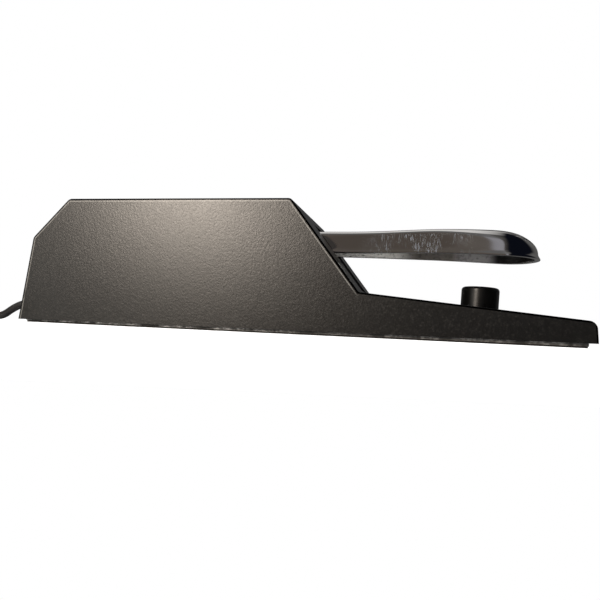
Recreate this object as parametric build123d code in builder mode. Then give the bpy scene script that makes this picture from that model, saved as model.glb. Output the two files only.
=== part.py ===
from build123d import *
import os
from math import cos, pi, radians, sin, tan

# Sustain pedal for a keyboard: a plastic housing with a steel floor and a rubber sole, a chromed
# lever that pivots inside it and presses a small switch, and a thin cord that ends in a jack plug.
# Millimetres. X runs from the cord end to the toe, Y across the pedal and Z up from the floor.
# The origin is on the floor, in the middle of the pedal itself.

os.makedirs("parts", exist_ok=True)

# ---------------------------------------------------------------- driving dimensions
half_length = 121.0
half_width = 36.0
wall = 2.5
sole_thickness = 0.6
plate_thickness = 1.2
rim_rear = 1.1
rim_toe = 1.8
roof_z = 55.9
ramp_start = (32.7, 18.0)
ramp_end = (120.4, 9.9)
edge_round = 0.8
beyond = 60.0

sole_top = sole_thickness
plate_top = sole_top + plate_thickness
plate_rear = -118.8
plate_front = 118.3
plate_half_width = 34.3
plate_play = 0.15
plate_corner = 2.0
sole_inset = 0.3

pivot_x = -62.0
pivot_z = 42.15
shaft_radius = 3.0
running_play = 0.05
lever_gap = 0.3

lever_tail = -72.0
lever_bottom = 37.2
lever_top = 47.1
lever_crown = 47.8
lever_half_root = 7.75
lever_half_toe = 14.5
toe_centre = 90.3
toe_bottom = 36.0
lever_wall = 2.3

slot_half = 9.75
slot_low = 20.5
slot_high = 49.8
slot_rear = -2.0
slot_front = 45.0

bumper_x = 81.2
bumper_radius = 8.0
bumper_height = 10.5
bumper_lean = 2.0

cord_radius = 1.9
cord_exit_z = 12.7

screw_radius = 1.5


def ramp_z(x):
    """Height of the ramp's upper face at x."""
    rise = (ramp_end[1] - ramp_start[1]) / (ramp_end[0] - ramp_start[0])
    return ramp_start[1] + rise * (x - ramp_start[0])


def save(piece, name):
    """Label a finished piece and write it as its own STEP file."""
    piece.part.label = name
    export_step(piece.part, f"parts/{name}.step")


# ---------------------------------------------------------------- housing
# An open-bottomed ABS shell. The side outline has a chamfered back, a flat roof, a steep front
# that the lever comes out of, and a long ramp under the lever that ends in the toe.
outline = [
    (-half_length, rim_rear),
    (-116.1, 38.3),
    (-99.1, roof_z),
    (3.2, roof_z),
    ramp_start,
    ramp_end,
    (half_length, rim_toe),
]
outline_rounds = [1.0, 3.0, 3.0, 2.5, 1.5, 3.3, 1.0]
open_low = -10.0
back_lean = (outline[1][0] - outline[0][0]) / (outline[1][1] - outline[0][1])
toe_lean = (outline[6][0] - outline[5][0]) / (outline[5][1] - outline[6][1])
long_outline = [
    (-half_length - back_lean * (rim_rear - open_low), open_low),
    *outline[1:6],
    (half_length + toe_lean * (rim_toe - open_low), open_low),
]
rim_plane = Plane(
    origin=(0, 0, (rim_rear + rim_toe) / 2),
    x_dir=(2 * half_length, 0, rim_toe - rim_rear),
    z_dir=(rim_rear - rim_toe, 0, 2 * half_length),
)

boss_radius = 4.0
boss_hole_top = 8.0
boss_rows = [(-104.0, 25.0, 44.0), (-2.0, 27.0, 55.0), (100.0, 24.0, ramp_z(100.0) - 1.0)]
boss_spots = [(x, side * y) for x, y, _ in boss_rows for side in (-1, 1)]

cord_hole_radius = 3.55
relief_seat_x = -118.0
relief_seat_radius = 6.2
stem_radius = 3.4

bumper_base_z = ramp_z(bumper_x)
bumper_plane = Plane(
    origin=(bumper_x, 0, bumper_base_z),
    x_dir=(cos(radians(bumper_lean)), 0, -sin(radians(bumper_lean))),
    z_dir=(sin(radians(bumper_lean)), 0, cos(radians(bumper_lean))),
)

with BuildPart() as housing:
    with BuildSketch(Plane.XZ):
        with BuildLine():
            FilletPolyline(*long_outline, radius=outline_rounds, close=True)
        make_face()
    extrude(amount=half_width, both=True)
    side_edges = housing.faces().filter_by(Axis.Y).edges()
    fillet([e for e in side_edges if e.center().Z > open_low + 2.0], radius=edge_round)
    split(bisect_by=rim_plane)
    with BuildSketch(Plane.XZ):
        with BuildLine():
            Polyline(*long_outline, close=True)
        make_face()
        offset(amount=-wall, kind=Kind.INTERSECTION)
    extrude(amount=half_width - wall, both=True, mode=Mode.SUBTRACT)
    for boss_x, boss_y, boss_top in boss_rows:
        with BuildSketch(Plane.XY.offset(plate_top)):
            with Locations((boss_x, -boss_y), (boss_x, boss_y)):
                Circle(boss_radius)
        extrude(amount=boss_top - plate_top)
    with BuildSketch(Plane.XY):
        with Locations(((plate_rear + plate_front) / 2, 0)):
            RectangleRounded(
                plate_front - plate_rear + 2 * plate_play,
                2 * (plate_half_width + plate_play),
                plate_corner,
            )
    extrude(amount=plate_top, mode=Mode.SUBTRACT)
    with BuildSketch(Plane.XY):
        with Locations(*boss_spots):
            Circle(screw_radius)
    extrude(amount=boss_hole_top, mode=Mode.SUBTRACT)
    with BuildSketch(Plane.XZ):
        with BuildLine():
            Polyline((slot_rear, slot_low), (slot_front, slot_low), (slot_front, slot_high),
                     (slot_rear, slot_high), close=True)
        make_face()
    extrude(amount=slot_half, both=True, mode=Mode.SUBTRACT)
    with BuildSketch(Plane.YZ.offset(relief_seat_x)):
        with Locations((0, cord_exit_z)):
            Circle(relief_seat_radius)
    extrude(amount=-beyond, mode=Mode.SUBTRACT)
    with BuildSketch(Plane.YZ.offset(relief_seat_x)):
        with Locations((0, cord_exit_z)):
            Circle(cord_hole_radius)
    extrude(amount=2 * wall, mode=Mode.SUBTRACT)
    with BuildSketch(bumper_plane.offset(-2 * wall)):
        Circle(stem_radius)
    extrude(amount=4 * wall, mode=Mode.SUBTRACT)
save(housing, "housing")

# ---------------------------------------------------------------- floor plate and sole
# A steel plate closes the housing from below, held by six countersunk self-tapping screws. A thin
# rubber sole is glued to it, with a round window over each screw head.
screw_head_radius = 2.6
screw_top = 7.6
cross_length = 3.4
cross_width = 0.7
cross_depth = 0.5
rivet_radius = 1.6
rivet_head_radius = 2.8
rivet_head_height = 1.2
rivet_spots = [(-80.0, -5.0), (-80.0, 5.0), (-42.0, -5.0), (-42.0, 5.0)]
clamp_x = -90.0
clamp_half = 8.0
clamp_spots = [(clamp_x, -clamp_half), (clamp_x, clamp_half)]
clamp_screw_radius = 1.2

screw_window_play = 0.9
head_depth = screw_head_radius - screw_radius
head_spots = [(x, y, sole_top) for x, y in boss_spots]
head_base = (Align.CENTER, Align.CENTER, Align.MIN)

with BuildPart() as base_plate:
    with BuildSketch(Plane.XY.offset(sole_top)):
        with Locations(((plate_rear + plate_front) / 2, 0)):
            RectangleRounded(plate_front - plate_rear, 2 * plate_half_width, plate_corner)
        with Locations(*boss_spots):
            Circle(screw_radius, mode=Mode.SUBTRACT)
        with Locations(*rivet_spots):
            Circle(rivet_radius, mode=Mode.SUBTRACT)
        with Locations(*clamp_spots):
            Circle(clamp_screw_radius, mode=Mode.SUBTRACT)
    extrude(amount=plate_thickness)
    with Locations(*head_spots):
        Cone(screw_head_radius, screw_radius, head_depth, align=head_base, mode=Mode.SUBTRACT)
save(base_plate, "base_plate")

with BuildPart() as sole:
    with BuildSketch(Plane.XY):
        with Locations(((plate_rear + plate_front) / 2, 0)):
            RectangleRounded(
                plate_front - plate_rear - 2 * sole_inset,
                2 * (plate_half_width - sole_inset),
                plate_corner,
            )
        with Locations(*boss_spots):
            Circle(screw_head_radius + screw_window_play, mode=Mode.SUBTRACT)
    extrude(amount=sole_thickness)
save(sole, "sole")

with BuildPart() as base_screws:
    with Locations(*head_spots):
        Cone(screw_head_radius, screw_radius, head_depth, align=head_base)
    with BuildSketch(Plane.XY.offset(sole_top)):
        with Locations(*boss_spots):
            Circle(screw_radius)
    extrude(amount=screw_top - sole_top)
    with BuildSketch(Plane.XY.offset(sole_top)):
        with Locations(*boss_spots):
            Rectangle(cross_length, cross_width)
            Rectangle(cross_width, cross_length)
    extrude(amount=cross_depth, mode=Mode.SUBTRACT)
save(base_screws, "base_screws")

# ---------------------------------------------------------------- rubber bumper
# The lever stops on it. A short stem snaps through the ramp and is held by a cone underneath.
bumper_round = 1.4
bumper_block = 20.0
barb_depth = wall + 0.35
barb_length = 2.6
barb_radius = 4.4
stem_profile = [
    (0, -barb_depth - barb_length),
    (barb_length, -barb_depth - barb_length),
    (barb_radius, -barb_depth),
    (stem_radius, -barb_depth),
    (stem_radius, 2.0),
    (0, 2.0),
]

with BuildPart() as bumper:
    with BuildSketch(Plane.XZ):
        with BuildLine():
            Polyline(
                (bumper_x - bumper_block, ramp_z(bumper_x - bumper_block)),
                (bumper_x + bumper_block, ramp_z(bumper_x + bumper_block)),
                (bumper_x + bumper_block, roof_z),
                (bumper_x - bumper_block, roof_z),
                close=True,
            )
        make_face()
    extrude(amount=bumper_block, both=True)
    with BuildSketch(bumper_plane.offset(-wall)):
        Circle(bumper_radius)
    extrude(amount=wall + bumper_height, mode=Mode.INTERSECT)
    fillet(bumper.edges().sort_by(Axis.Z)[-1], radius=bumper_round)
    with BuildSketch(Plane(origin=bumper_plane.origin, x_dir=bumper_plane.x_dir, z_dir=(0, -1, 0))):
        with BuildLine():
            Polyline(*stem_profile, close=True)
        make_face()
    revolve(axis=Axis(bumper_plane.origin, bumper_plane.z_dir))
save(bumper, "bumper")

# ---------------------------------------------------------------- lever
# One chromed casting. The tail is solid, with a cross hole for the bushes, a rib that works the
# switch and a spigot for the spring. In front of them it is a hollow channel, open below, that
# widens to the round toe. A post inside the toe comes down on the bumper.
hollow_start = -6.0
taper_start = 14.0
taper_end = 82.0
rise_start = 30.0
crown_start = 66.0
crown_end = 84.0
fall_start = 60.0
toe_tip = toe_centre + lever_half_toe
toe_bend = (98.0, lever_crown - 2.4)
toe_brow = (toe_tip, 38.9)
bush_radius = 4.0
flange_radius = 5.6
flange_top = 0.9
ear_inner = 9.5
rib_x = pivot_x + 9.0
rib_drop = 3.0
rib_size = (4.0, 6.0)
rib_corner = 0.8
spring_x = -20.0
spigot_radius = 3.8
spigot_drop = 2.0
post_x = 81.6
post_bottom = 41.8
post_radius = 6.0


def lever_plan(grow=0.0):
    """Half outline of the lever from above, closed along its middle, grown by some millimetres."""
    root = lever_half_root + grow
    toe = lever_half_toe + grow
    with BuildLine() as edge:
        Line((lever_tail - grow, 0), (lever_tail - grow, root))
        Line((lever_tail - grow, root), (taper_start, root))
        Spline((taper_start, root), (taper_end, toe), tangents=[(1, 0), (1, 0)])
        Line((taper_end, toe), (toe_centre, toe))
        CenterArc((toe_centre, 0), toe, 90, -90)
        Line((toe_centre + toe, 0), (lever_tail - grow, 0))
    return edge.line


def lever_side(low_tail, low_toe):
    """Outline of the lever from the side, with its lower edge at the two given heights."""
    with BuildLine() as edge:
        Line((lever_tail, low_tail), (lever_tail, lever_top))
        Line((lever_tail, lever_top), (rise_start, lever_top))
        Line((rise_start, lever_top), (crown_start, lever_crown))
        Line((crown_start, lever_crown), (crown_end, lever_crown))
        brow = TangentArc((crown_end, lever_crown), toe_bend, tangent=(1, 0))
        TangentArc(toe_bend, toe_brow, tangent=brow % 1)
        Line(toe_brow, (toe_tip, low_toe))
        Line((toe_tip, low_toe), (fall_start, low_tail))
        Line((fall_start, low_tail), (lever_tail, low_tail))
    return edge.line


with BuildPart() as lever_hollow:
    with BuildSketch(Plane.XZ):
        add(make_face(lever_side(lever_bottom - 2 * lever_wall, toe_bottom - 2 * lever_wall)))
        offset(amount=-lever_wall, kind=Kind.INTERSECTION)
    extrude(amount=half_width, both=True)
    with BuildSketch():
        add(make_face(lever_plan(-lever_wall)))
        mirror(about=Plane.XZ)
    extrude(amount=roof_z, mode=Mode.INTERSECT)
    split(bisect_by=Plane.YZ.offset(hollow_start))

with BuildPart() as pedal:
    with BuildSketch(Plane.XZ):
        add(make_face(lever_side(lever_bottom, toe_bottom)))
    extrude(amount=half_width, both=True)
    with BuildSketch():
        add(make_face(lever_plan()))
        mirror(about=Plane.XZ)
    extrude(amount=roof_z, mode=Mode.INTERSECT)
    add(lever_hollow.part, mode=Mode.SUBTRACT)
    with BuildSketch(Plane.XY.offset(post_bottom)):
        with Locations((post_x, 0)):
            Circle(post_radius)
    extrude(amount=lever_crown - lever_wall / 2 - post_bottom)
    with BuildSketch(Plane.XY.offset(lever_bottom - rib_drop)):
        with Locations((rib_x, 0)):
            RectangleRounded(*rib_size, rib_corner)
    extrude(amount=rib_drop)
    with BuildSketch(Plane.XY.offset(lever_bottom - spigot_drop)):
        with Locations((spring_x, 0)):
            Circle(spigot_radius)
    extrude(amount=spigot_drop)
    with BuildSketch(Plane.XZ):
        with Locations((pivot_x, pivot_z)):
            Circle(bush_radius)
    extrude(amount=half_width, both=True, mode=Mode.SUBTRACT)
save(pedal, "pedal")

# ---------------------------------------------------------------- pivot
# Two nylon bushes sit in the lever's cross hole and turn on a steel shaft. The shaft is held in a
# bent steel bracket and kept there by a clip at each end.
bracket_sheet = 1.5
eye_radius = 8.0
bracket_base_top = plate_top + bracket_sheet
ear_outer = ear_inner + bracket_sheet
bush_inner = 1.5
clip_groove = 2.4
clip_low = ear_outer + 0.2
clip_thickness = 0.7
clip_radius = 5.2
clip_mouth = 3.6
groove_depth = 1.0
shaft_half = clip_low + clip_thickness + 0.8
switch_hole_spots = [(-60.9, 20.0), (-38.7, 20.0)]
switch_hole_radius = 1.6
ear_outline = [
    (-86.0, plate_top),
    (-34.0, plate_top),
    (-34.0, 24.0),
    (-56.2, 47.6),
    (-67.8, 47.6),
    (-86.0, 14.0),
]

for bush_name, side in (("left_bush", 1), ("right_bush", -1)):
    with BuildPart() as bush:
        with BuildSketch(Plane.XZ.offset(-side * bush_inner)):
            with Locations((pivot_x, pivot_z)):
                Circle(bush_radius)
        extrude(amount=-side * (lever_half_root - bush_inner))
        with BuildSketch(Plane.XZ.offset(-side * lever_half_root)):
            with Locations((pivot_x, pivot_z)):
                Circle(flange_radius)
        extrude(amount=-side * flange_top)
        with BuildSketch(Plane.XZ):
            with Locations((pivot_x, pivot_z)):
                Circle(shaft_radius + running_play)
        extrude(amount=half_width, both=True, mode=Mode.SUBTRACT)
    save(bush, bush_name)

with BuildPart() as pivot_shaft:
    with BuildSketch(Plane.XZ):
        with Locations((pivot_x, pivot_z)):
            Circle(shaft_radius)
    extrude(amount=shaft_half, both=True)
    fillet(pivot_shaft.edges().filter_by(GeomType.CIRCLE), radius=0.3)
    for side in (-1, 1):
        with BuildSketch(Plane.XZ.offset(-side * clip_low)):
            with Locations((pivot_x, pivot_z)):
                Circle(shaft_radius + groove_depth)
                Circle(clip_groove, mode=Mode.SUBTRACT)
        extrude(amount=-side * clip_thickness, mode=Mode.SUBTRACT)
save(pivot_shaft, "pivot_shaft")

with BuildPart() as shaft_clips:
    for side in (-1, 1):
        with BuildSketch(Plane.XZ.offset(-side * clip_low)):
            with Locations((pivot_x, pivot_z)):
                Circle(clip_radius)
                Circle(clip_groove, mode=Mode.SUBTRACT)
            with Locations((pivot_x, pivot_z - clip_radius)):
                Rectangle(clip_mouth, 2 * clip_radius, mode=Mode.SUBTRACT)
        extrude(amount=-side * clip_thickness)
save(shaft_clips, "shaft_clips")

with BuildPart() as pivot_bracket:
    with BuildSketch(Plane.XZ):
        with BuildLine():
            Polyline(*ear_outline, close=True)
        make_face()
        with Locations((pivot_x, pivot_z)):
            Circle(eye_radius)
            Circle(shaft_radius, mode=Mode.SUBTRACT)
        with Locations(*switch_hole_spots):
            Circle(switch_hole_radius, mode=Mode.SUBTRACT)
    extrude(amount=ear_outer, both=True)
    with BuildSketch(Plane.XY.offset(bracket_base_top)):
        with Locations((pivot_x, 0)):
            Rectangle(2 * half_width, 2 * ear_inner)
    extrude(amount=roof_z, mode=Mode.SUBTRACT)
    with BuildSketch(Plane.XY):
        with Locations(*rivet_spots):
            Circle(rivet_radius)
    extrude(amount=bracket_base_top, mode=Mode.SUBTRACT)
save(pivot_bracket, "pivot_bracket")

with BuildPart() as bracket_rivets:
    with BuildSketch(Plane.XY.offset(sole_top)):
        with Locations(*rivet_spots):
            Circle(rivet_radius)
    extrude(amount=bracket_base_top - sole_top)
    with BuildSketch(Plane.XY.offset(bracket_base_top)):
        with Locations(*rivet_spots):
            Circle(rivet_head_radius)
    extrude(amount=rivet_head_height)
save(bracket_rivets, "bracket_rivets")

# ---------------------------------------------------------------- return spring
# A steel coil spring on a plastic seat pushes the lever up against a felt pad under the roof.
wire_radius = 0.8
spring_radius = 6.2
seat_radius = 8.5
seat_top = plate_top + 1.2
seat_spigot_radius = 5.0
seat_spigot_height = 5.0
spring_low = seat_top + wire_radius + 0.1
spring_high = lever_bottom - wire_radius - 0.15
spring_turns = 8
pad_x = -10.0
pad_size = (12.0, 16.0)
pad_corner = 1.0
pad_low = lever_top + 0.4

with BuildPart() as spring_seat:
    with BuildSketch(Plane.XY.offset(plate_top)):
        with Locations((spring_x, 0)):
            Circle(seat_radius)
    extrude(amount=seat_top - plate_top)
    with BuildSketch(Plane.XY.offset(seat_top)):
        with Locations((spring_x, 0)):
            Circle(seat_spigot_radius)
    extrude(amount=seat_spigot_height)
    fillet(spring_seat.edges().sort_by(Axis.Z)[-1], radius=1.0)
save(spring_seat, "spring_seat")

with BuildPart() as return_spring:
    with BuildLine() as spring_line:
        Helix(
            pitch=(spring_high - spring_low) / spring_turns,
            height=spring_high - spring_low,
            radius=spring_radius,
            center=(spring_x, 0, spring_low),
        )
    with BuildSketch(Plane(origin=spring_line.line @ 0, z_dir=spring_line.line % 0)):
        Circle(wire_radius)
    sweep(is_frenet=True)
save(return_spring, "return_spring")

with BuildPart() as rest_pad:
    with BuildSketch(Plane.XY.offset(pad_low)):
        with Locations((pad_x, 0)):
            RectangleRounded(*pad_size, pad_corner)
    extrude(amount=roof_z - wall - pad_low)
save(rest_pad, "rest_pad")

# ---------------------------------------------------------------- switch
# A snap-action switch stands between the bracket's ears on two screws with spacers. The rib under
# the lever pushes its plunger.
switch_top = 32.0
switch_size = (27.8, 10.3, 15.9)
switch_corner = 0.6
switch_x = -49.8
plunger_size = (3.0, 5.0)
plunger_play = 0.2
plunger_round = 0.5
well_depth = 5.5
plunger_low = 28.6
plunger_high = lever_bottom - rib_drop - lever_gap
switch_low = switch_top - switch_size[2]
terminal_spots = [-60.5, -50.0, -39.5]
terminal_low = 9.1
terminal_size = (0.8, 4.8)
terminal_eye_rise = 5.2
terminal_eye_radius = 0.8
spacer_radius = 3.0
screw_head_height = 2.0
pan_radius = 2.75
driver_slot = (4.0, 0.7)
driver_depth = 0.9
screw_tail = 0.6
nut_thickness = 2.4

with BuildPart() as switch_body:
    with BuildSketch(Plane.XY.offset(switch_low)):
        with Locations((switch_x, 0)):
            RectangleRounded(switch_size[0], switch_size[1], switch_corner)
    extrude(amount=switch_size[2])
    with BuildSketch(Plane.XZ):
        with Locations(*switch_hole_spots):
            Circle(switch_hole_radius)
    extrude(amount=half_width, both=True, mode=Mode.SUBTRACT)
    with BuildSketch(Plane.XY.offset(switch_top)):
        with Locations((rib_x, 0)):
            Rectangle(plunger_size[0] + 2 * plunger_play, plunger_size[1] + 2 * plunger_play)
    extrude(amount=-well_depth, mode=Mode.SUBTRACT)
save(switch_body, "switch_body")

with BuildPart() as switch_plunger:
    with BuildSketch(Plane.XY.offset(plunger_low)):
        with Locations((rib_x, 0)):
            Rectangle(*plunger_size)
    extrude(amount=plunger_high - plunger_low)
    fillet(switch_plunger.faces().sort_by(Axis.Z)[-1].edges(), radius=plunger_round)
save(switch_plunger, "switch_plunger")

with BuildPart() as switch_terminals:
    with BuildSketch(Plane.XY.offset(terminal_low)):
        with Locations(*[(x, 0) for x in terminal_spots]):
            Rectangle(*terminal_size)
    extrude(amount=switch_low - terminal_low)
    with BuildSketch(Plane.YZ.offset(switch_x)):
        with Locations((0, terminal_low + terminal_eye_rise)):
            Circle(terminal_eye_radius)
    extrude(amount=switch_size[0] / 2, both=True, mode=Mode.SUBTRACT)
save(switch_terminals, "switch_terminals")

with BuildPart() as switch_spacers:
    for side in (-1, 1):
        with BuildSketch(Plane.XZ.offset(-side * switch_size[1] / 2)):
            with Locations(*switch_hole_spots):
                Circle(spacer_radius)
                Circle(switch_hole_radius, mode=Mode.SUBTRACT)
        extrude(amount=-side * (ear_inner - switch_size[1] / 2))
save(switch_spacers, "switch_spacers")

with BuildPart() as switch_screws:
    with BuildSketch(Plane.XZ.offset(ear_outer)):
        with Locations(*switch_hole_spots):
            Circle(pan_radius)
    extrude(amount=screw_head_height)
    with BuildSketch(Plane.XZ.offset(ear_outer)):
        with Locations(*switch_hole_spots):
            Circle(screw_radius)
    extrude(amount=-(2 * ear_outer + nut_thickness + screw_tail))
    with BuildSketch(Plane.XZ.offset(ear_outer + screw_head_height)):
        with Locations(*switch_hole_spots):
            Rectangle(*driver_slot)
    extrude(amount=-driver_depth, mode=Mode.SUBTRACT)
save(switch_screws, "switch_screws")

with BuildPart() as switch_nuts:
    with BuildSketch(Plane.XZ.offset(-ear_outer)):
        with Locations(*switch_hole_spots):
            RegularPolygon(pan_radius, 6, major_radius=False)
            Circle(screw_radius, mode=Mode.SUBTRACT)
    extrude(amount=-nut_thickness)
save(switch_nuts, "switch_nuts")

# ---------------------------------------------------------------- cord inside the housing
# The jacket comes in through the strain relief, is held by a clamp on the floor plate, and its
# two leads run under the switch to the common and the normally open terminal.
relief_inner_x = -113.8
clamp_z = 6.0
jacket_end_x = -85.0
lead_radius = 0.8


def cord_tube(points, radius, name):
    """Round tube along straight runs joined by arcs as large as the runs allow."""
    runs = [Vector(*b) - Vector(*a) for a, b in zip(points, points[1:])]
    bends = []
    for before, after in zip(runs, runs[1:]):
        half_turn = radians(before.get_angle(after)) / 2
        bends.append(0.45 * min(before.length, after.length) / tan(half_turn))
    with BuildPart() as tube:
        with BuildLine() as route:
            FilletPolyline(*points, radius=bends)
        with BuildSketch(Plane(origin=points[0], z_dir=route.line % 0)):
            Circle(radius)
        sweep()
    length = route.wire().length
    ratio = tube.part.volume / (pi * radius**2 * length)
    print(f"{name}: {length:.1f} mm, volume ratio {ratio:.4f}, radii",
          " ".join(f"{bend:.1f}" for bend in bends))
    save(tube, name)


cord_tube(
    [
        (relief_inner_x, 0, cord_exit_z),
        (-107.9, 0, 12.2),
        (-101.4, 0, 9.6),
        (-94.9, 0, clamp_z + 0.4),
        (-89.5, 0, clamp_z),
        (jacket_end_x, 0, clamp_z + 0.1),
    ],
    cord_radius,
    "inner_cord",
)
cord_tube(
    [
        (jacket_end_x, 0.85, clamp_z + 0.1),
        (-77.0, 1.3, 7.0),
        (-69.0, 1.0, 9.2),
        (terminal_spots[0] - 0.4, 0.4, 11.6),
    ],
    lead_radius,
    "signal_lead",
)
cord_tube(
    [
        (jacket_end_x, -0.85, clamp_z + 0.1),
        (-77.0, -2.2, 7.2),
        (-67.5, -4.2, 8.8),
        (-57.5, -3.4, 10.8),
        (terminal_spots[1] - 0.4, -0.6, 11.8),
    ],
    lead_radius,
    "ground_lead",
)

clamp_top = clamp_z + cord_radius + 1.4
clamp_size = (6.0, 2 * clamp_half + 7.0)
clamp_corner = 2.0
clamp_groove = cord_radius + 0.1

with BuildPart() as cord_clamp:
    with BuildSketch(Plane.XY.offset(plate_top)):
        with Locations((clamp_x, 0)):
            RectangleRounded(*clamp_size, clamp_corner)
    extrude(amount=clamp_top - plate_top)
    with BuildSketch(Plane.YZ.offset(clamp_x)):
        with Locations((0, clamp_z + 0.05)):
            Circle(clamp_groove)
        with Locations((0, clamp_z / 2)):
            Rectangle(2 * clamp_groove, clamp_z)
    extrude(amount=clamp_size[0], both=True, mode=Mode.SUBTRACT)
    with BuildSketch(Plane.XY):
        with Locations(*clamp_spots):
            Circle(clamp_screw_radius)
    extrude(amount=clamp_top, mode=Mode.SUBTRACT)
save(cord_clamp, "cord_clamp")

clamp_head_radius = 2.2
clamp_head_height = 1.5
clamp_slot = (3.4, 0.6)
clamp_slot_depth = 0.7
with BuildPart() as clamp_screws:
    with BuildSketch(Plane.XY.offset(clamp_top)):
        with Locations(*clamp_spots):
            Circle(clamp_head_radius)
    extrude(amount=clamp_head_height)
    with BuildSketch(Plane.XY.offset(sole_top + 0.1)):
        with Locations(*clamp_spots):
            Circle(clamp_screw_radius)
    extrude(amount=clamp_top - sole_top - 0.1)
    with BuildSketch(Plane.XY.offset(clamp_top + clamp_head_height)):
        with Locations(*clamp_spots):
            Rectangle(*clamp_slot)
    extrude(amount=-clamp_slot_depth, mode=Mode.SUBTRACT)
save(clamp_screws, "clamp_screws")

# ---------------------------------------------------------------- strain relief
# A soft sleeve moulded on the cord: a flange in the housing's seat, a collar behind the wall and a
# ribbed taper outside that droops a little.
relief_flange = 2.0
relief_flange_radius = 5.7
relief_flange_x = relief_seat_x - relief_flange
relief_neck = 2.2
relief_collar_radius = 4.8
relief_droop = radians(8.0)
relief_length = 19.0
relief_root = 3.9
relief_tip = 2.6
relief_grooves = 5
groove_pitch = 3.2
groove_first = 3.0
groove_width = 1.1
groove_cut = 0.7
relief_axis = Plane(
    origin=(relief_flange_x + 0.2, 0, cord_exit_z),
    x_dir=(0, 1, 0),
    z_dir=(-cos(relief_droop), 0, -sin(relief_droop)),
)
relief_end = relief_axis.offset(relief_length).origin

with BuildPart() as strain_relief:
    with BuildSketch(Plane.YZ.offset(relief_flange_x)):
        with Locations((0, cord_exit_z)):
            Circle(relief_flange_radius)
    extrude(amount=relief_flange)
    with BuildSketch(Plane.YZ.offset(relief_seat_x)):
        with Locations((0, cord_exit_z)):
            Circle(cord_hole_radius)
    extrude(amount=relief_neck)
    with BuildSketch(Plane.YZ.offset(relief_seat_x + relief_neck)):
        with Locations((0, cord_exit_z)):
            Circle(relief_collar_radius)
    extrude(amount=relief_inner_x - relief_seat_x - relief_neck)
    with BuildSketch(relief_axis):
        Circle(relief_root)
    with BuildSketch(relief_axis.offset(relief_length)):
        Circle(relief_tip)
    loft()
    for ring in range(relief_grooves):
        ring_start = groove_first + groove_pitch * ring
        slim = relief_root - (relief_root - relief_tip) * (ring_start / relief_length)
        with BuildSketch(relief_axis.offset(ring_start)):
            Circle(2 * relief_root)
            Circle(slim - groove_cut, mode=Mode.SUBTRACT)
        extrude(amount=groove_width, mode=Mode.SUBTRACT)
save(strain_relief, "strain_relief")

# ---------------------------------------------------------------- cord outside the housing
# It droops from the strain relief to the floor, goes into a tied coil, and ends in the plug, which
# lies beside the coil.
floor_z = cord_radius + 0.05
coil_x = -196.0
coil_y = -18.0
coil_rings = [18.0, 22.0, 26.0]
coil_layers = 4
coil_rise = 3.8
coil_inner = coil_rings[0] - cord_radius
coil_outer = coil_rings[-1] + cord_radius
coil_height = 2 * cord_radius + (coil_layers - 1) * coil_rise

cord_tube(
    [
        (relief_end.X, 0, relief_end.Z),
        (-145.0, 0, 9.5),
        (-151.8, 0.2, 7.2),
        (-158.3, 0.5, 3.4),
        (-165.8, 1.4, floor_z),
        (-174.5, 3.6, floor_z),
        (-184.8, 6.8, floor_z),
        (coil_x, coil_y + coil_rings[-1], floor_z),
    ],
    cord_radius,
    "cord",
)

with BuildPart() as cord_coil:
    with BuildSketch(Plane.XZ):
        with Locations(((coil_inner + coil_outer) / 2, coil_height / 2 + 0.05)):
            RectangleRounded(coil_outer - coil_inner, coil_height, cord_radius)
    revolve(axis=Axis.Z)
cord_coil.part = Pos(coil_x, coil_y, 0) * cord_coil.part
save(cord_coil, "cord_coil")

plug_x = coil_x - 8.0
plug_y = coil_y - 42.0
plug_z = 6.0
cord_tube(
    [
        (coil_x - 16.7, coil_y + 19.9, 13.3),
        (coil_x - 26.5, coil_y + 12.0, 12.8),
        (coil_x - 34.0, coil_y + 2.5, 9.6),
        (coil_x - 38.2, coil_y - 8.5, 5.4),
        (coil_x - 38.5, coil_y - 20.0, 2.6),
        (coil_x - 34.5, coil_y - 31.0, floor_z),
        (coil_x - 26.0, coil_y - 38.5, 2.4),
        (coil_x - 16.5, coil_y - 41.6, 4.8),
        (plug_x, plug_y, plug_z),
    ],
    cord_radius,
    "cord_tail",
)

tie_angle = radians(-35.0)
tie_sheet = 0.8
tie_width = 9.0
tie_plane = Plane(
    origin=(coil_x, coil_y, 0),
    x_dir=(cos(tie_angle), sin(tie_angle), 0),
    z_dir=(sin(tie_angle), -cos(tie_angle), 0),
)
tie_inner = coil_inner - 0.7
with BuildPart() as cord_tie:
    with BuildSketch(tie_plane):
        with Locations(((tie_inner + coil_outer) / 2, (coil_height + tie_sheet) / 2)):
            RectangleRounded(
                coil_outer - tie_inner + 2 * tie_sheet, coil_height + tie_sheet, cord_radius
            )
        with Locations(((tie_inner + coil_outer) / 2, coil_height / 2 + tie_sheet / 2)):
            RectangleRounded(coil_outer - tie_inner, coil_height - tie_sheet, cord_radius - 0.8,
                             mode=Mode.SUBTRACT)
    extrude(amount=tie_width / 2, both=True)
save(cord_tie, "cord_tie")

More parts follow.
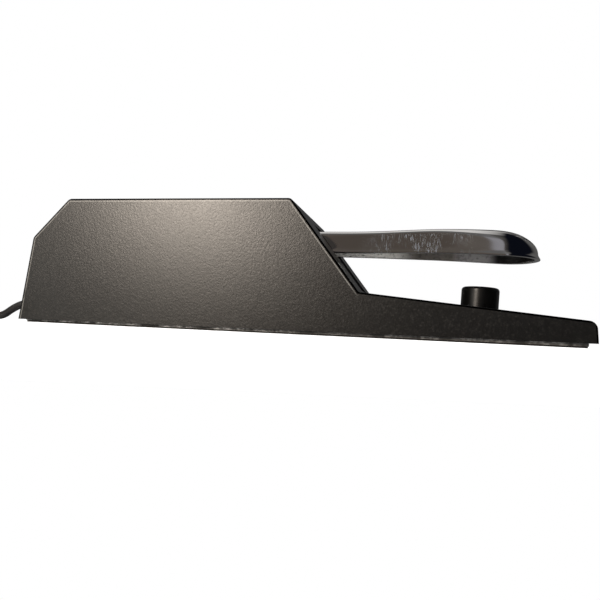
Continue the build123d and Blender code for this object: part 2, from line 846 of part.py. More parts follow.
# ---------------------------------------------------------------- plug
# A two-pole 6.35 mm jack plug: a moulded grip with a ribbed tail, a plated sleeve, an insulating
# ring and a plated tip.
plug_radius = 3.175
grip_radius = 6.0
tail_length = 13.0
grip_length = 27.0
sleeve_length = 20.0
ring_length = 1.4
tip_length = 9.2
tail_profile = [(0.0, 0.0), (0.0, 2.4), (tail_length, 3.7), (tail_length, 0.0)]
grip_profile = [
    (tail_length, 0.0),
    (tail_length, grip_radius - 1.2),
    (tail_length + 1.2, grip_radius),
    (tail_length + grip_length - 1.0, grip_radius),
    (tail_length + grip_length, grip_radius - 1.0),
    (tail_length + grip_length, 0.0),
]
sleeve_start = tail_length + grip_length
ring_start_x = sleeve_start + sleeve_length
tip_start = ring_start_x + ring_length
tip_profile = [
    (tip_start, 0.0),
    (tip_start, plug_radius),
    (tip_start + 1.6, plug_radius),
    (tip_start + 2.8, 2.35),
    (tip_start + 3.6, 2.35),
    (tip_start + 5.2, plug_radius),
    (tip_start + tip_length - 0.6, 1.1),
    (tip_start + tip_length, 0.5),
    (tip_start + tip_length, 0.0),
]
plug_plane = Plane(origin=(plug_x, plug_y, plug_z), x_dir=(1, 0, 0), z_dir=(0, -1, 0))
plug_axis = Axis((plug_x, plug_y, plug_z), (1, 0, 0))


def turned(profiles, name):
    """Body of revolution about the plug's axis from closed outlines of (distance, radius)."""
    with BuildPart() as piece:
        for profile in profiles:
            with BuildSketch(plug_plane):
                with BuildLine():
                    Polyline(*profile, close=True)
                make_face()
            revolve(axis=plug_axis)
    save(piece, name)


turned([tail_profile, grip_profile], "plug_body")
turned(
    [[(sleeve_start, 0), (sleeve_start, plug_radius), (ring_start_x, plug_radius), (ring_start_x, 0)]],
    "plug_sleeve",
)
turned(
    [[(ring_start_x, 0), (ring_start_x, 2.7), (tip_start, 2.7), (tip_start, 0)]], "plug_insulator"
)
turned([tip_profile], "plug_tip")
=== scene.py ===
from math import atan2, cos, pi, radians, sin, sqrt

import bmesh
import bpy
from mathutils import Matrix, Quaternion, Vector


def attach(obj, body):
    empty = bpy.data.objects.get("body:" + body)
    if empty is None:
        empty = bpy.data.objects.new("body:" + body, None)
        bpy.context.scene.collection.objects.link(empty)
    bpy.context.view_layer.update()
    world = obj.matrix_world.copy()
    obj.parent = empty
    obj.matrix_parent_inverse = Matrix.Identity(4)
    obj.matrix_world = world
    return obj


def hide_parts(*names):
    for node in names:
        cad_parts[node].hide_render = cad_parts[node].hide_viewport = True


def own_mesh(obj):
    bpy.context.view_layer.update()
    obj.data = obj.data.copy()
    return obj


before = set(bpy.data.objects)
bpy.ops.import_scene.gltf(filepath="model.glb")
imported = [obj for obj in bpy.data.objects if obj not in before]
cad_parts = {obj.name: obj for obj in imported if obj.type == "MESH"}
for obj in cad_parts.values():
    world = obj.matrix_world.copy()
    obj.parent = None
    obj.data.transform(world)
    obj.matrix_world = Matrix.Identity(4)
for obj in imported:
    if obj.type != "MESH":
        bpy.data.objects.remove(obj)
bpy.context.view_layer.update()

MM = 0.001

# ---- camera -----------------------------------------------------------------------------------
# It looks along the floor at the pedal's right flank from a forearm's length away, turned a little
# towards the cord end. It is level with the sole, so only the flank and the lever's edge show.
eye = Vector((63.0, -272.2, 1.0)) * MM
aim_turn, aim_rise, aim_roll = radians(-12.84), radians(3.06), radians(2.69)
aim = Vector((sin(aim_turn) * cos(aim_rise), cos(aim_turn) * cos(aim_rise), sin(aim_rise)))
lens = bpy.data.cameras.new("camera")
lens.lens = 36.0
lens.sensor_width = 36.0
lens.clip_start = 0.01
camera = bpy.data.objects.new("camera", lens)
camera.location = eye
camera.rotation_mode = "QUATERNION"
camera.rotation_quaternion = aim.to_track_quat("-Z", "Y") @ Quaternion((0, 0, 1), aim_roll)
bpy.context.scene.collection.objects.link(camera)
bpy.context.scene.camera = camera
bpy.context.scene.view_settings.view_transform = "Standard"

# ---- cord -------------------------------------------------------------------------------------
# A thin round PVC cord with two cores. It droops from the strain relief to the floor, is wound
# into a small coil held by a tie, and comes back out of it to the plug.


class Value:
    """One output of a material's nodes. Arithmetic on it adds Math nodes."""

    def __init__(self, finish, socket):
        self.finish = finish
        self.socket = socket

    def math(self, operation, *sides):
        return self.finish.node("Math", {"operation": operation}, sides)

    def __add__(self, other):
        return self.math("ADD", self, other)

    def __sub__(self, other):
        return self.math("SUBTRACT", self, other)

    def __rsub__(self, other):
        return self.math("SUBTRACT", other, self)

    def __mul__(self, other):
        return self.math("MULTIPLY", self, other)

    __radd__ = __add__
    __rmul__ = __mul__

    def size(self):
        return self.math("ABSOLUTE", self)

    def root(self):
        return self.math("SQRT", self)

    def least(self, other):
        return self.math("MINIMUM", self, other)

    def most(self, other):
        return self.math("MAXIMUM", self, other)

    def rise(self, low, high):
        """0 below low, 1 above high, smooth between."""
        settings = {"interpolation_type": "SMOOTHSTEP"}
        return self.finish.node("MapRange", settings, [self, low, high, 0.0, 1.0])


class Finish:
    """One material: a Principled shader and the nodes that feed it."""

    def __init__(self, name, **constants):
        self.material = bpy.data.materials.new(name)
        self.material.use_nodes = True
        self.tree = self.material.node_tree
        self.shader = self.tree.nodes["Principled BSDF"]
        for key, value in constants.items():
            self.set(key.replace("_", " ").title().replace("Ior", "IOR"), value)

    def set(self, socket, value):
        self.join(self.shader.inputs[socket], value)

    def join(self, socket, value):
        if isinstance(value, Value):
            self.tree.links.new(value.socket, socket)
        elif hasattr(value, "__len__") and len(value) == 3 and socket.type == "RGBA":
            socket.default_value = (*value, 1.0)
        else:
            socket.default_value = value

    def node(self, kind, settings=None, inputs=(), out=0):
        """Add a node of this type, set it up, feed its sockets and return one output."""
        made = self.tree.nodes.new("ShaderNode" + kind)
        for key, value in (settings or {}).items():
            setattr(made, key, value)
        pairs = inputs.items() if isinstance(inputs, dict) else enumerate(inputs)
        for key, value in pairs:
            self.join(made.inputs[key], value)
        return Value(self, made.outputs[out])

    def place(self, stretch=None):
        """The point's place in metres, squeezed along the axes if asked."""
        spot = self.node("TexCoord", out="Object")
        if stretch is None:
            return spot
        return self.node("Mapping", None, {"Vector": spot, "Scale": stretch})

    def axes(self):
        """The three coordinates in millimetres."""
        spot = self.node("SeparateXYZ", None, [self.place()])
        node = spot.socket.node
        return [Value(self, socket) * 1000.0 for socket in node.outputs]

    def noise(self, size, detail=2.0, stretch=None, rough=0.5):
        """Noise from 0 to 1 with features of about this size in millimetres."""
        settings = {"Vector": self.place(stretch), "Scale": 1000.0 / size, "Detail": detail,
                    "Roughness": rough}
        return self.node("TexNoise", None, settings)

    def specks(self, spacing, radius, share, stretch=None):
        """Small round spots, at most one to a cell, in a share of the cells."""
        cells = {"Vector": self.place(stretch), "Scale": 1000.0 / spacing}
        cell = self.node("TexVoronoi", None, cells, out="Distance")
        shade = Value(self, cell.socket.node.outputs["Color"])
        pick = self.node("SeparateColor", None, [shade])
        return (1.0 - cell.rise(0.6 * radius / spacing, radius / spacing)) * pick.rise(
            1.0 - share, 1.0 - share + 0.01)

    def paint(self, share, below, above):
        """Mix two colours."""
        return self.node("Mix", {"data_type": "RGBA"}, {0: share, 6: below, 7: above}, out=2)

    def bump(self, height, depth, strength=1.0):
        """Raise the surface by height times depth, in millimetres."""
        relief = {"Strength": strength, "Distance": depth * MM, "Height": height}
        self.set("Normal", self.node("Bump", None, relief))


def dress(target, finish):
    """Give a CAD node or a new piece its material."""
    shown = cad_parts[target] if isinstance(target, str) else target
    shown.data.materials.clear()
    shown.data.materials.append(finish.material)
    return shown


cord_width = 3.8
floor_gap = 0.05
floor_level = cord_width / 2 + floor_gap
coil_centre = Vector((-196.0, -18.0, 0.0))
ring_radii = [26.0, 22.0, 18.0]
layer_rise = 3.8
layer_count = 4
points_per_turn = 14
coil_start = radians(90.0)
relief_end = Vector((-138.615, 0.0, 10.056))

cord_out = [
    tuple(relief_end),
    (-145.0, 0.0, 9.5),
    (-151.8, 0.2, 6.8),
    (-158.3, 0.5, 2.3),
    (-165.8, 1.4, floor_level),
    (-174.5, 3.6, floor_level),
    (-184.8, 6.8, floor_level),
]
cord_in = [
    (-26.5, 12.0, 12.8),
    (-34.0, 2.5, 9.6),
    (-38.2, -8.5, 5.4),
    (-38.5, -20.0, 2.6),
    (-34.5, -31.0, floor_level),
    (-26.0, -38.5, 2.4),
    (-16.5, -41.6, 4.8),
    (-8.0, -42.0, 6.0),
]

turns = []
for layer in range(layer_count):
    radii = ring_radii if layer % 2 == 0 else ring_radii[::-1]
    turns += [(radius, floor_level + layer * layer_rise) for radius in radii]
turns.append(turns[-1])
coil_points = []
for number in range(layer_count * len(ring_radii)):
    for step in range(points_per_turn):
        part = step / points_per_turn
        shift = max(0.0, (part - 0.7) / 0.3)
        shift = shift * shift * (3 - 2 * shift)
        radius = turns[number][0] + (turns[number + 1][0] - turns[number][0]) * shift
        height = turns[number][1] + (turns[number + 1][1] - turns[number][1]) * shift
        angle = coil_start + 2 * pi * part
        coil_points.append((coil_centre.x + radius * cos(angle),
                            coil_centre.y + radius * sin(angle), height))
for step in range(2):
    angle = coil_start + 2 * pi * step / points_per_turn
    coil_points.append((coil_centre.x + ring_radii[0] * cos(angle),
                        coil_centre.y + ring_radii[0] * sin(angle), turns[-1][1]))

route = cord_out + coil_points + [tuple(coil_centre + Vector(spot)) for spot in cord_in]
line = bpy.data.curves.new("cord", "CURVE")
line.dimensions = "3D"
line.bevel_depth = cord_width / 2 * MM
line.bevel_resolution = 5
line.use_fill_caps = True
spline = line.splines.new("NURBS")
spline.points.add(len(route) - 1)
for control, spot in zip(spline.points, route):
    control.co = (*(Vector(spot) * MM), 1.0)
spline.order_u = 3
spline.use_endpoint_u = True
spline.resolution_u = 5
cord = bpy.data.objects.new("cord_line", line)
bpy.context.scene.collection.objects.link(cord)

jacket = Finish("cord_jacket", roughness=0.42, specular_ior_level=0.45)
mottle = jacket.noise(6.0, 3.0)
jacket.set("Base Color", jacket.paint(mottle, (0.010, 0.010, 0.011), (0.024, 0.023, 0.023)))
jacket.set("Roughness", 0.34 + mottle * 0.2)
jacket.bump(jacket.noise(0.7, 2.0), 0.03, 0.5)
dress(cord, jacket)
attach(cord, "base")
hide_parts("cord", "cord_coil", "cord_tail")

# ---- cord tie ---------------------------------------------------------------------------------
# A soft black PVC strap around the bundle of turns. It holds the coil for storage.


def new_mesh(name, points, faces, smooth=True):
    """A mesh piece from points in millimetres."""
    mesh = bpy.data.meshes.new(name)
    mesh.from_pydata([tuple(Vector(point) * MM) for point in points], [], faces)
    mesh.update()
    for face in mesh.polygons:
        face.use_smooth = smooth
    piece = bpy.data.objects.new(name, mesh)
    bpy.context.scene.collection.objects.link(piece)
    return piece


def grid_faces(rows, columns, wrap_rows=False, wrap_columns=False):
    """Quads over a grid of rows by columns of points."""
    faces = []
    for row in range(rows if wrap_rows else rows - 1):
        for column in range(columns if wrap_columns else columns - 1):
            below, right = (row + 1) % rows, (column + 1) % columns
            faces.append((row * columns + column, row * columns + right,
                          below * columns + right, below * columns + column))
    return faces


def smooth_over(piece, levels=2):
    """Subdivide a piece smoothly."""
    layer = piece.modifiers.new("smooth", "SUBSURF")
    layer.levels = levels
    layer.render_levels = levels


tie_angle = radians(-35.0)
tie_half_width = 4.5
tie_thickness = 0.8
bundle_inner = 15.6
bundle_outer = 28.2
bundle_top = 15.5
tie_steps = 40
outward = Vector((cos(tie_angle), sin(tie_angle), 0.0))
along = Vector((-sin(tie_angle), cos(tie_angle), 0.0))
tie_points = []
for step in range(tie_steps):
    turn = 2 * pi * step / tie_steps
    across = abs(cos(turn)) ** 0.45 * (1 if cos(turn) > 0 else -1)
    up = abs(sin(turn)) ** 0.45 * (1 if sin(turn) > 0 else -1)
    for inset, side in ((0.0, -1), (0.0, 1), (1.0, 1), (1.0, -1)):
        half = (bundle_outer - bundle_inner) / 2 + tie_thickness * (1.0 - inset)
        reach = (bundle_outer + bundle_inner) / 2 + half * across
        tall = (bundle_top + tie_thickness) / 2 - tie_thickness * inset
        height = (bundle_top + tie_thickness) / 2 + tall * up
        bow = 0.25 * cos(2 * turn)
        tie_points.append(coil_centre + outward * reach + Vector((0, 0, height + 0.02))
                          + along * side * (tie_half_width - bow))
tie = new_mesh("tie_strap", tie_points, grid_faces(tie_steps, 4, True, True))
smooth_over(tie, 1)
strap = Finish("tie_strap", roughness=0.3, specular_ior_level=0.5)
strap.set("Base Color", strap.paint(strap.noise(3.0), (0.016, 0.016, 0.017), (0.035, 0.034, 0.034)))
strap.bump(strap.noise(0.9, 1.0, (1.0, 1.0, 0.2)), 0.05, 0.6)
dress(tie, strap)
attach(tie, "base")
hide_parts("cord_tie")

# ---- strain relief ----------------------------------------------------------------------------
# A soft black PVC sleeve moulded onto the cord, with grooves that let it bend. Its collar snaps into
# a hole in the housing's rear wall.
moulded = Finish("moulded_pvc", roughness=0.5, specular_ior_level=0.4)
moulded.set("Base Color", moulded.paint(moulded.noise(4.0), (0.010, 0.010, 0.010),
                                        (0.022, 0.021, 0.021)))
moulded.bump(moulded.noise(0.5, 2.0), 0.03, 0.6)
dress("strain_relief", moulded)

# ---- plug -------------------------------------------------------------------------------------
# A mono jack: a moulded grip with a tapered tail, a nickel sleeve, a black ring and a nickel tip.
grip = Finish("plug_grip", roughness=0.42, specular_ior_level=0.45)
rub = grip.noise(5.0, 3.0)
grip.set("Base Color", grip.paint(rub, (0.011, 0.011, 0.012), (0.028, 0.027, 0.027)))
grip.set("Roughness", 0.34 + rub * 0.22)
grip.bump(grip.noise(0.5, 2.0), 0.03, 0.6)
dress("plug_body", grip)

nickel = Finish("bright_nickel", metallic=1.0, roughness=0.16)
draw = nickel.noise(0.25, 2.0, (0.05, 1.0, 1.0))
nickel.set("Base Color", nickel.paint(draw, (0.58, 0.56, 0.51), (0.72, 0.70, 0.66)))
nickel.set("Roughness", 0.10 + draw * 0.18)
dress("plug_sleeve", nickel)
dress("plug_tip", nickel)

insulator = Finish("plug_ring", roughness=0.3)
insulator.set("Base Color", insulator.paint(insulator.noise(1.0), (0.012, 0.012, 0.012),
                                            (0.024, 0.024, 0.024)))
dress("plug_insulator", insulator)

# ---- backdrop ---------------------------------------------------------------------------------
# A white table under even white light. The chrome and the flank of the housing reflect a dim brown
# room on the camera's side, darker towards the toe, with a pale wall at the cord end, one narrow
# bar of light and a bright patch of ceiling. The table and the sky give no reflections of their own.
floor = new_mesh("floor", [(-9000, -9000, 0), (9000, -9000, 0), (9000, 9000, 0), (-9000, 9000, 0)],
                 [(0, 1, 2, 3)])
table = Finish("table_white", roughness=0.9, specular_ior_level=0.1)
table.set("Base Color", (0.90, 0.90, 0.90))
dress(floor, table)

world = bpy.data.worlds.new("room")
world.use_nodes = True
bpy.context.scene.world = world


class Room(Finish):
    """The world's own nodes, with the same helpers as a material's."""

    def __init__(self, of_world):
        self.tree = of_world.node_tree
        self.shader = self.tree.nodes["Background"]


room = Room(world)
direction = room.node("TexCoord", out="Generated")
split = room.node("SeparateXYZ", None, [direction]).socket.node
look_x, look_y, look_z = [Value(room, socket) for socket in split.outputs]
patches = room.node("TexNoise", None, {"Vector": direction, "Scale": 2.6, "Detail": 2.0})
dim = room.paint(patches.rise(0.35, 0.65), (0.086, 0.073, 0.064), (0.134, 0.121, 0.111))
dim = room.paint(look_x.rise(-0.62, -0.42), (0.80, 0.79, 0.74), dim)
dim = room.paint(look_x.rise(0.02, 0.30), dim, (0.004, 0.005, 0.009))
bar = look_x.rise(0.06, 0.09) * (1.0 - look_x.rise(0.13, 0.16))
dim = room.paint(bar, dim, (0.30, 0.30, 0.33))
away = look_y.rise(0.15, 0.60)
lit = room.paint(away, dim, (0.11, 0.11, 0.11))
open_side = 1.0 - look_x.rise(0.05, 0.30) * (1.0 - away)
lit = room.paint(look_z.rise(0.30, 0.55) * open_side, lit, (0.13, 0.13, 0.13))
lit = room.paint(look_z.rise(0.84, 0.92) * open_side, lit, (0.80, 0.80, 0.80))
seen = room.node("LightPath", out="Is Camera Ray")
room.set("Color", room.paint(seen, lit, (1.0, 1.0, 1.0)))
room.set("Strength", 1.0)


def lamp(name, kind, place, target, power, colour=(1.0, 1.0, 1.0), width=None, height=None):
    """A light at a place, in metres, that points at a target."""
    light = bpy.data.lights.new(name, kind)
    light.energy = power
    light.color = colour
    if kind == "AREA":
        light.shape = "RECTANGLE"
        light.size = width
        light.size_y = height
    else:
        light.angle = radians(width)
    holder = bpy.data.objects.new(name, light)
    holder.location = place
    holder.rotation_mode = "QUATERNION"
    holder.rotation_quaternion = (Vector(target) - Vector(place)).to_track_quat("-Z", "Y")
    bpy.context.scene.collection.objects.link(holder)
    return holder


sky = lamp("sky", "SUN", (-0.5, 0.5, 2.0), (0.0, 0.0, 0.0), 4.2, width=60.0)
window = lamp("window", "AREA", (-0.37, -0.80, 0.27), (-0.05, 0.0, 0.04), 4.8, (1.0, 0.88, 0.76), 0.16, 0.16)
for source in (floor, sky):
    source.visible_glossy = False

# ---- housing ----------------------------------------------------------------------------------
# Black ABS, moulded with a fine grain and worn to a soft sheen. A painted dark line of shade runs along the
# rounded edges of both flanks, and a thin painted highlight line runs just inside them.
shell = Finish("housing_plastic", roughness=0.46, specular_ior_level=0.5)
along_x, along_y, along_z = shell.axes()
flank = along_y.size()
grain = shell.noise(0.85, 4.0, rough=0.7)
cloud = shell.noise(28.0, 3.0)
tone = shell.paint(grain.rise(0.50, 0.72), (0.0050, 0.0048, 0.0044), (0.021, 0.020, 0.018))
dust = shell.specks(9.0, 0.30, 0.22)
tone = shell.paint(dust * 0.30, tone, (0.24, 0.23, 0.21))
flank_corners = [(-121.0, 1.1), (-116.1, 38.3), (-99.1, 55.9), (3.2, 55.9), (32.7, 18.0),
                 (120.4, 9.9), (121.0, 1.8)]


def inside(first, second):
    """Distance in millimetres inside the straight edge from one flank corner to the next."""
    run = Vector(second) - Vector(first)
    run.normalize()
    return (along_x - first[0]) * run.y - (along_z - first[1]) * run.x


rear, chamfer, roof, slope, ramp, toe = [inside(*ends) for ends in zip(flank_corners, flank_corners[1:])]
edge_gap = slope.most(ramp).least(rear).least(chamfer).least(roof).least(toe)
# Painted shade: a near-black, fully metallic band on the rounded flank edges, so they show as a dark line.
painted_edge_shade = flank.rise(34.95, 35.15) * (1.0 - edge_gap.rise(0.70, 0.90))
# Painted highlight: a thin paler line just inside the flank edges.
painted_edge_highlight = edge_gap.rise(1.00, 1.15) * (1.0 - edge_gap.rise(1.40, 1.60)) * flank.rise(35.9, 35.98)
painted_edge_highlight = painted_edge_highlight * (1.0 - along_x.rise(28.0, 34.0)) * shell.noise(9.0, 3.0).rise(0.25, 0.50)
tone = shell.paint(painted_edge_shade, tone, (0.0005, 0.0005, 0.0005))
tone = shell.paint(painted_edge_highlight * 0.8, tone, (0.20, 0.195, 0.18))
shell.set("Base Color", tone)
shell.set("Metallic", painted_edge_shade)
shell.set("Roughness", 0.22 + grain * 0.14 + cloud * 0.03)
shell.bump(grain, 0.095, 0.60)
dress("housing", shell)

# ---- floor plate, sole and screws -------------------------------------------------------------
# Painted sheet steel with its edge rubbed bright towards the cord end, over a thin sheet of matt
# rubber. Six zinc-plated screws hold the plate to the housing.
plate = Finish("plate_paint", roughness=0.4)
ridge = 1.0 - plate.axes()[0].rise(-40.0, 20.0) * 0.75
scuff = plate.noise(9.0, 4.0, (1.0, 1.0, 0.3)).rise(0.40, 0.52)
fleck = plate.noise(1.1, 3.0, (0.5, 1.0, 1.0)).rise(0.46, 0.62)
worn = scuff * ridge * (0.3 + fleck * 0.7)
plate.set("Base Color", plate.paint(worn, (0.035, 0.035, 0.033), (0.80, 0.79, 0.76)))
plate.set("Roughness", 0.38 + fleck * 0.2)
dress("base_plate", plate)

rubber_sheet = Finish("sole_rubber", roughness=0.75, specular_ior_level=0.3)
wear = rubber_sheet.noise(7.0, 4.0)
rubber_sheet.set("Base Color", rubber_sheet.paint(wear, (0.008, 0.008, 0.008), (0.034, 0.033, 0.032)))
rubber_sheet.bump(rubber_sheet.noise(0.6, 2.0), 0.06, 0.8)
dress("sole", rubber_sheet)

zinc = Finish("zinc_screws", metallic=1.0, roughness=0.35)
dull = zinc.noise(1.2, 3.0)
zinc.set("Base Color", zinc.paint(dull, (0.46, 0.46, 0.45), (0.62, 0.62, 0.63)))
zinc.set("Roughness", 0.26 + dull * 0.25)
for fastener in ("base_screws", "bracket_rivets", "switch_screws", "switch_nuts", "clamp_screws"):
    dress(fastener, zinc)

# ---- bumper -----------------------------------------------------------------------------------
# One moulding of hard black rubber, smooth and a little shiny. It is pressed into the ramp, and the
# lever's post comes down on it.
rubber = Finish("bumper_rubber", roughness=0.36, specular_ior_level=0.4)
haze = rubber.noise(3.0, 3.0)
rubber.set("Base Color", rubber.paint(haze, (0.0018, 0.0018, 0.0018), (0.005, 0.005, 0.005)))
rubber.set("Roughness", 0.24 + haze * 0.12)
rubber.bump(rubber.noise(0.8, 2.0), 0.02, 0.5)
dress("bumper", rubber)

# ---- lever ------------------------------------------------------------------------------------
# A die casting, polished and chromed: a hollow channel that widens to a round toe with a small flared lip,
# and a post inside the toe that lands on the bumper. The channel's inside is left as cast, with painted
# light and shade in its colour: pale near the root, darker along the channel and black at the toe. Fine
# scuffs run down its sides.
lever_tail = -72.0
lever_top = 47.1
lever_crown = 47.8
lever_root = 7.75
lever_toe = 14.5
toe_centre = 90.3
taper = (14.0, 82.0)
rise_span = (30.0, 66.0)
rim_back = 37.2
rim_toe = 36.0
nose_start = 84.3
nose_drop = 8.9
nose_reach = 20.5
wall = 2.3
hollow_start = -6.0


def ease(value, low, high):
    """0 below low, 1 above high, smooth between."""
    share = min(1.0, max(0.0, (value - low) / (high - low)))
    return share * share * (3 - 2 * share)


def top_height(x):
    """Height of the lever's top along its middle."""
    level = lever_top + (lever_crown - lever_top) * ease(x, *rise_span)
    if x <= nose_start:
        return level
    reach = min(1.0, (x - nose_start) / nose_reach)
    return level - nose_drop * (1.0 - sqrt(max(0.0, 1.0 - reach * reach)))


def rim_height(x):
    """Height of the lever's lower edge."""
    return rim_back + (rim_toe - rim_back) * ease(x, 60.0, 108.0)


def lever_outline():
    """Points round the lever from above, each with the point of the middle line it faces."""
    ring = []
    stations = [lever_tail, -66.0, -50.0, -30.0, -12.0, hollow_start - 1.0, hollow_start + 0.5, 4.0,
                14.0, 22.0, 30.0, 38.0, 46.0, 54.0, 62.0, 70.0, 77.0, 83.0, 87.0, toe_centre]
    for x in stations:
        half = lever_root + (lever_toe - lever_root) * ease(x, *taper)
        ring.append((Vector((x, half)), Vector((x, 0.0))))
    for degree in range(80, -1, -10):
        turn = radians(degree)
        edge = Vector((toe_centre + lever_toe * cos(turn), lever_toe * sin(turn)))
        ring.append((edge, Vector((toe_centre + 10.0 * cos(turn), 0.0))))
    return ring + [(Vector((e.x, -e.y)), Vector((m.x, -m.y))) for e, m in ring[-2::-1]]


lever_points = []
arc_steps = 6
outline = lever_outline()
for edge, middle in outline:
    inward = (middle - edge).normalized()
    reach = (middle - edge).length
    frontness = ease(edge.x, 60.0, toe_centre + 6.0)
    lip = 0.15 + 0.85 * ease(edge.x, 78.0, 100.0)
    rim = rim_height(edge.x)
    bend = min(1.9 + 3.6 * frontness, max(1.0, top_height(edge.x) - rim - 2.6))
    section = [(reach, 0.0), (reach * 0.72, 0.0), (max(bend * 1.25, reach * 0.4), 0.0)]
    for step in range(arc_steps + 1):
        turn = pi / 2 * step / arc_steps
        section.append((bend * (1 - sin(turn)), bend * (1 - cos(turn))))
    column = []
    for inset, drop in section:
        spot = edge + inward * inset
        column.append((spot, top_height(spot.x) - drop))
    shoulder = column[-1][1]
    column.append((edge, shoulder * 0.45 + (rim + 2.4) * 0.55))
    column.append((edge, rim + 2.3))
    column.append((edge - inward * lip * 0.45, rim + 1.25))
    column.append((edge - inward * lip, rim + 0.75))
    column.append((edge - inward * lip, rim + 0.1))
    column.append((edge - inward * (lip - 0.2), rim))
    column.append((edge + inward * (wall - 0.9), rim))
    column.append((edge + inward * (wall - 0.6), rim + 0.2))
    deep = ease(edge.x, hollow_start - 1.0, hollow_start + 0.5)
    ceiling = top_height(min(edge.x, 97.0)) - 2.6
    floor_cut = 0.4 + (ceiling - rim - 0.4) * deep
    for share, extra in ((0.5, 0.0), (0.88, 0.0), (0.97, 0.3), (1.0, 1.2)):
        column.append((edge + inward * (wall + extra), rim + floor_cut * share))
    inner_reach = max(wall + 2.0, reach * 0.6)
    column.append((edge + inward * inner_reach, rim + floor_cut))
    column.append((middle, rim + floor_cut))
    lever_points += [(spot.x, spot.y, height) for spot, height in column]
rows = len(outline)
columns = len(lever_points) // rows
lever = new_mesh("lever_shell", lever_points, grid_faces(rows, columns))
shape = bmesh.new()
shape.from_mesh(lever.data)
bmesh.ops.remove_doubles(shape, verts=shape.verts, dist=0.00002)
bmesh.ops.holes_fill(shape, edges=[edge for edge in shape.edges if edge.is_boundary])
bmesh.ops.recalc_face_normals(shape, faces=shape.faces)
shape.to_mesh(lever.data)
shape.free()
for face in lever.data.polygons:
    face.use_smooth = True
smooth_over(lever, 2)

chrome = Finish("lever_chrome", metallic=1.0, roughness=0.06)
lever_x, lever_y, lever_z = chrome.axes()
nose = (lever_x - toe_centre).most(0.0)
middle_gap = (nose * nose + lever_y * lever_y).root()
side_gap = lever_x.rise(*taper) * (lever_toe - lever_root) + lever_root - middle_gap
hollow = side_gap.rise(1.3, 1.6) * (1.0 - lever_z.rise(44.6, 45.0))
streak = chrome.noise(0.35, 3.0, (1.0, 1.0, 0.10), rough=0.6)
patch = lever_x.rise(26.0, 42.0) * (1.0 - lever_x.rise(70.0, 80.0))
patch = patch * chrome.noise(7.0, 2.0).rise(0.38, 0.6)
scratch = streak.rise(0.48, 0.68) * patch * (1.0 - lever_z.rise(44.8, 46.0))
polish = chrome.paint(scratch, (0.72, 0.70, 0.68), (0.74, 0.80, 0.92))
# Painted light and shade inside the channel: pale near the root, darker further along and black at the toe,
# with a random as-cast mottle over it.
cast_tone_and_painted_light = chrome.paint(lever_x.rise(40.0, 54.0), (0.96, 0.94, 0.90), (0.17, 0.15, 0.13))
cast_tone_and_painted_light = chrome.paint(lever_x.rise(68.0, 74.0), cast_tone_and_painted_light, (0.32, 0.31, 0.31))
cast_tone_and_painted_light = chrome.paint(lever_x.rise(84.0, 90.0), cast_tone_and_painted_light, (0.006, 0.006, 0.007))
cast_tone_and_painted_light = chrome.paint(chrome.noise(1.6, 3.0).rise(0.45, 0.75) * 0.5, cast_tone_and_painted_light, (0.05, 0.045, 0.04))
chrome.set("Base Color", chrome.paint(hollow, polish, cast_tone_and_painted_light))
chrome.set("Metallic", 1.0 - hollow - scratch * 0.50 * (1.0 - hollow))
chrome.set("Roughness", 0.065 + scratch * 0.02 + hollow * 0.40)
dress(lever, chrome)
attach(lever, "lever")
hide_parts("pedal")
unlit = bpy.data.collections.new("not_lit_by_window")
unlit.objects.link(lever)
unlit.collection_objects[0].light_linking.link_state = "EXCLUDE"
window.light_linking.receiver_collection = unlit


def turned(name, profile, place, steps=48):
    """A solid of revolution about a vertical axis, from (radius, height) in millimetres."""
    points = []
    for step in range(steps):
        angle = 2 * pi * step / steps
        for radius, height in profile:
            points.append((place[0] + radius * cos(angle), place[1] + radius * sin(angle), height))
    piece = new_mesh(name, points, grid_faces(steps, len(profile), True))
    cleaned = bmesh.new()
    cleaned.from_mesh(piece.data)
    bmesh.ops.remove_doubles(cleaned, verts=cleaned.verts, dist=0.000005)
    bmesh.ops.recalc_face_normals(cleaned, faces=cleaned.faces)
    cleaned.to_mesh(piece.data)
    cleaned.free()
    return piece


post_place = (81.6, 0.0)
post = turned("lever_post", [(0.0, 41.8), (4.9, 41.8), (5.6, 42.0), (6.0, 42.5), (6.0, 46.0),
                             (0.0, 46.0)], post_place)
spigot = turned("lever_spigot", [(0.0, 35.2), (3.2, 35.2), (3.8, 35.8), (3.8, 38.0), (0.0, 38.0)],
                (-20.0, 0.0))
cast = Finish("lever_cast", metallic=1.0, roughness=0.4)
cast_noise = cast.noise(0.8, 3.0)
cast.set("Base Color", cast.paint(cast_noise, (0.42, 0.41, 0.40), (0.60, 0.59, 0.57)))
cast.bump(cast_noise, 0.05, 0.6)
for piece in (post, spigot):
    dress(piece, cast)
    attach(piece, "lever")

# ---- pivot ------------------------------------------------------------------------------------
# Nylon bushes on a ground steel shaft, held in a folded bracket of zinc-plated sheet. Two spring
# steel clips keep the shaft in the bracket.
nylon = Finish("nylon", roughness=0.45, specular_ior_level=0.4)
nylon.set("Base Color", nylon.paint(nylon.noise(4.0), (0.62, 0.60, 0.53), (0.76, 0.74, 0.68)))
nylon.bump(nylon.noise(0.6), 0.02, 0.4)
for part in ("left_bush", "right_bush", "spring_seat", "switch_spacers", "cord_clamp"):
    dress(part, nylon)

steel = Finish("bright_steel", metallic=1.0, roughness=0.25)
turning = steel.noise(0.2, 2.0, (1.0, 0.05, 1.0))
steel.set("Base Color", steel.paint(turning, (0.50, 0.50, 0.50), (0.64, 0.64, 0.65)))
steel.set("Roughness", 0.18 + turning * 0.2)
for part in ("pivot_shaft", "shaft_clips"):
    dress(part, steel)

sheet = Finish("plated_sheet", metallic=1.0, roughness=0.34)
spangle = sheet.noise(3.5, 2.0)
sheet.set("Base Color", sheet.paint(spangle, (0.50, 0.50, 0.46), (0.66, 0.65, 0.60)))
sheet.set("Roughness", 0.26 + spangle * 0.22)
dress("pivot_bracket", sheet)

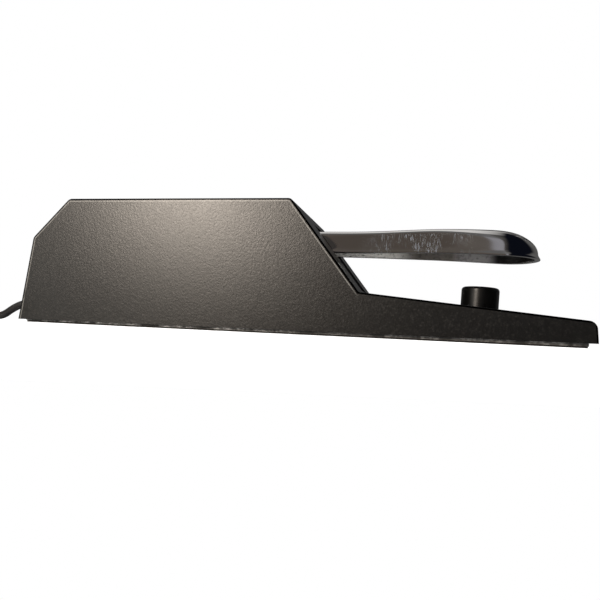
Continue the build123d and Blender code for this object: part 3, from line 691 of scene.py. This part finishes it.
# ---- return spring and rest pad ---------------------------------------------------------------
# A coil of spring steel wire between the seat and the lever, and a pad of red wool felt under the
# roof that the lever comes up against.
wire = 0.8
spring_place = Vector((-20.0, 0.0, 0.0))
spring_radius = 6.2
spring_low = 3.9
spring_high = 36.25
spring_turns = 8
end_crowding = 0.05
wire_sides = 10
steps_per_turn = 24
spring_points = []
spring_steps = spring_turns * steps_per_turn
for step in range(spring_steps + 1):
    turn = 2 * pi * step / steps_per_turn
    share = step / spring_steps
    height = spring_low + (spring_high - spring_low) * (share - end_crowding * sin(2 * pi * share))
    core = spring_place + Vector((spring_radius * cos(turn), spring_radius * sin(turn), height))
    radial = Vector((cos(turn), sin(turn), 0.0))
    for side in range(wire_sides):
        lean = 2 * pi * side / wire_sides
        spring_points.append(core + radial * wire * cos(lean) + Vector((0, 0, wire * sin(lean))))
spring_faces = grid_faces(spring_steps + 1, wire_sides, False, True)
spring_faces.append(tuple(range(wire_sides)))
spring_faces.append(tuple(range(len(spring_points) - 1, len(spring_points) - 1 - wire_sides, -1)))
spring = new_mesh("spring_coil", spring_points, spring_faces)
spring_steel = Finish("spring_wire", metallic=1.0, roughness=0.3)
spring_steel.set("Base Color", spring_steel.paint(spring_steel.noise(1.5), (0.22, 0.22, 0.23),
                                                  (0.36, 0.36, 0.37)))
dress(spring, spring_steel)
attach(spring, "base")
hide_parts("return_spring")
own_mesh(spring)

felt = Finish("rest_felt", roughness=0.95, specular_ior_level=0.1)
nap = felt.noise(0.6, 4.0, rough=0.7)
felt.set("Base Color", felt.paint(nap, (0.16, 0.015, 0.012), (0.34, 0.045, 0.035)))
felt.bump(nap, 0.2, 0.9)
dress("rest_pad", felt)

# ---- switch -----------------------------------------------------------------------------------
# A snap-action switch in a black phenolic case, with a red plunger and tinned brass blades.
case = Finish("switch_case", roughness=0.4)
case.set("Base Color", case.paint(case.noise(1.5), (0.016, 0.016, 0.017), (0.036, 0.035, 0.035)))
case.bump(case.noise(0.4), 0.02, 0.5)
dress("switch_body", case)

button = Finish("plunger_red", roughness=0.3)
button.set("Base Color", button.paint(button.noise(1.0), (0.42, 0.02, 0.015), (0.56, 0.035, 0.03)))
dress("switch_plunger", button)

brass = Finish("tinned_brass", metallic=1.0, roughness=0.3)
brass.set("Base Color", brass.paint(brass.noise(1.2), (0.62, 0.50, 0.26), (0.74, 0.64, 0.42)))
dress("switch_terminals", brass)

# ---- inner cord and leads ---------------------------------------------------------------------
# The stripped end of the cord inside the housing: one white and one black PVC lead, soldered to the
# switch.
for lead, name, low, high in (("signal_lead", "white_lead", (0.66, 0.65, 0.61), (0.76, 0.75, 0.72)),
                              ("ground_lead", "black_lead", (0.012, 0.012, 0.012), (0.03, 0.03, 0.03))):
    sleeve = Finish(name, roughness=0.4)
    sleeve.set("Base Color", sleeve.paint(sleeve.noise(2.0), low, high))
    dress(lead, sleeve)
dress("inner_cord", jacket)
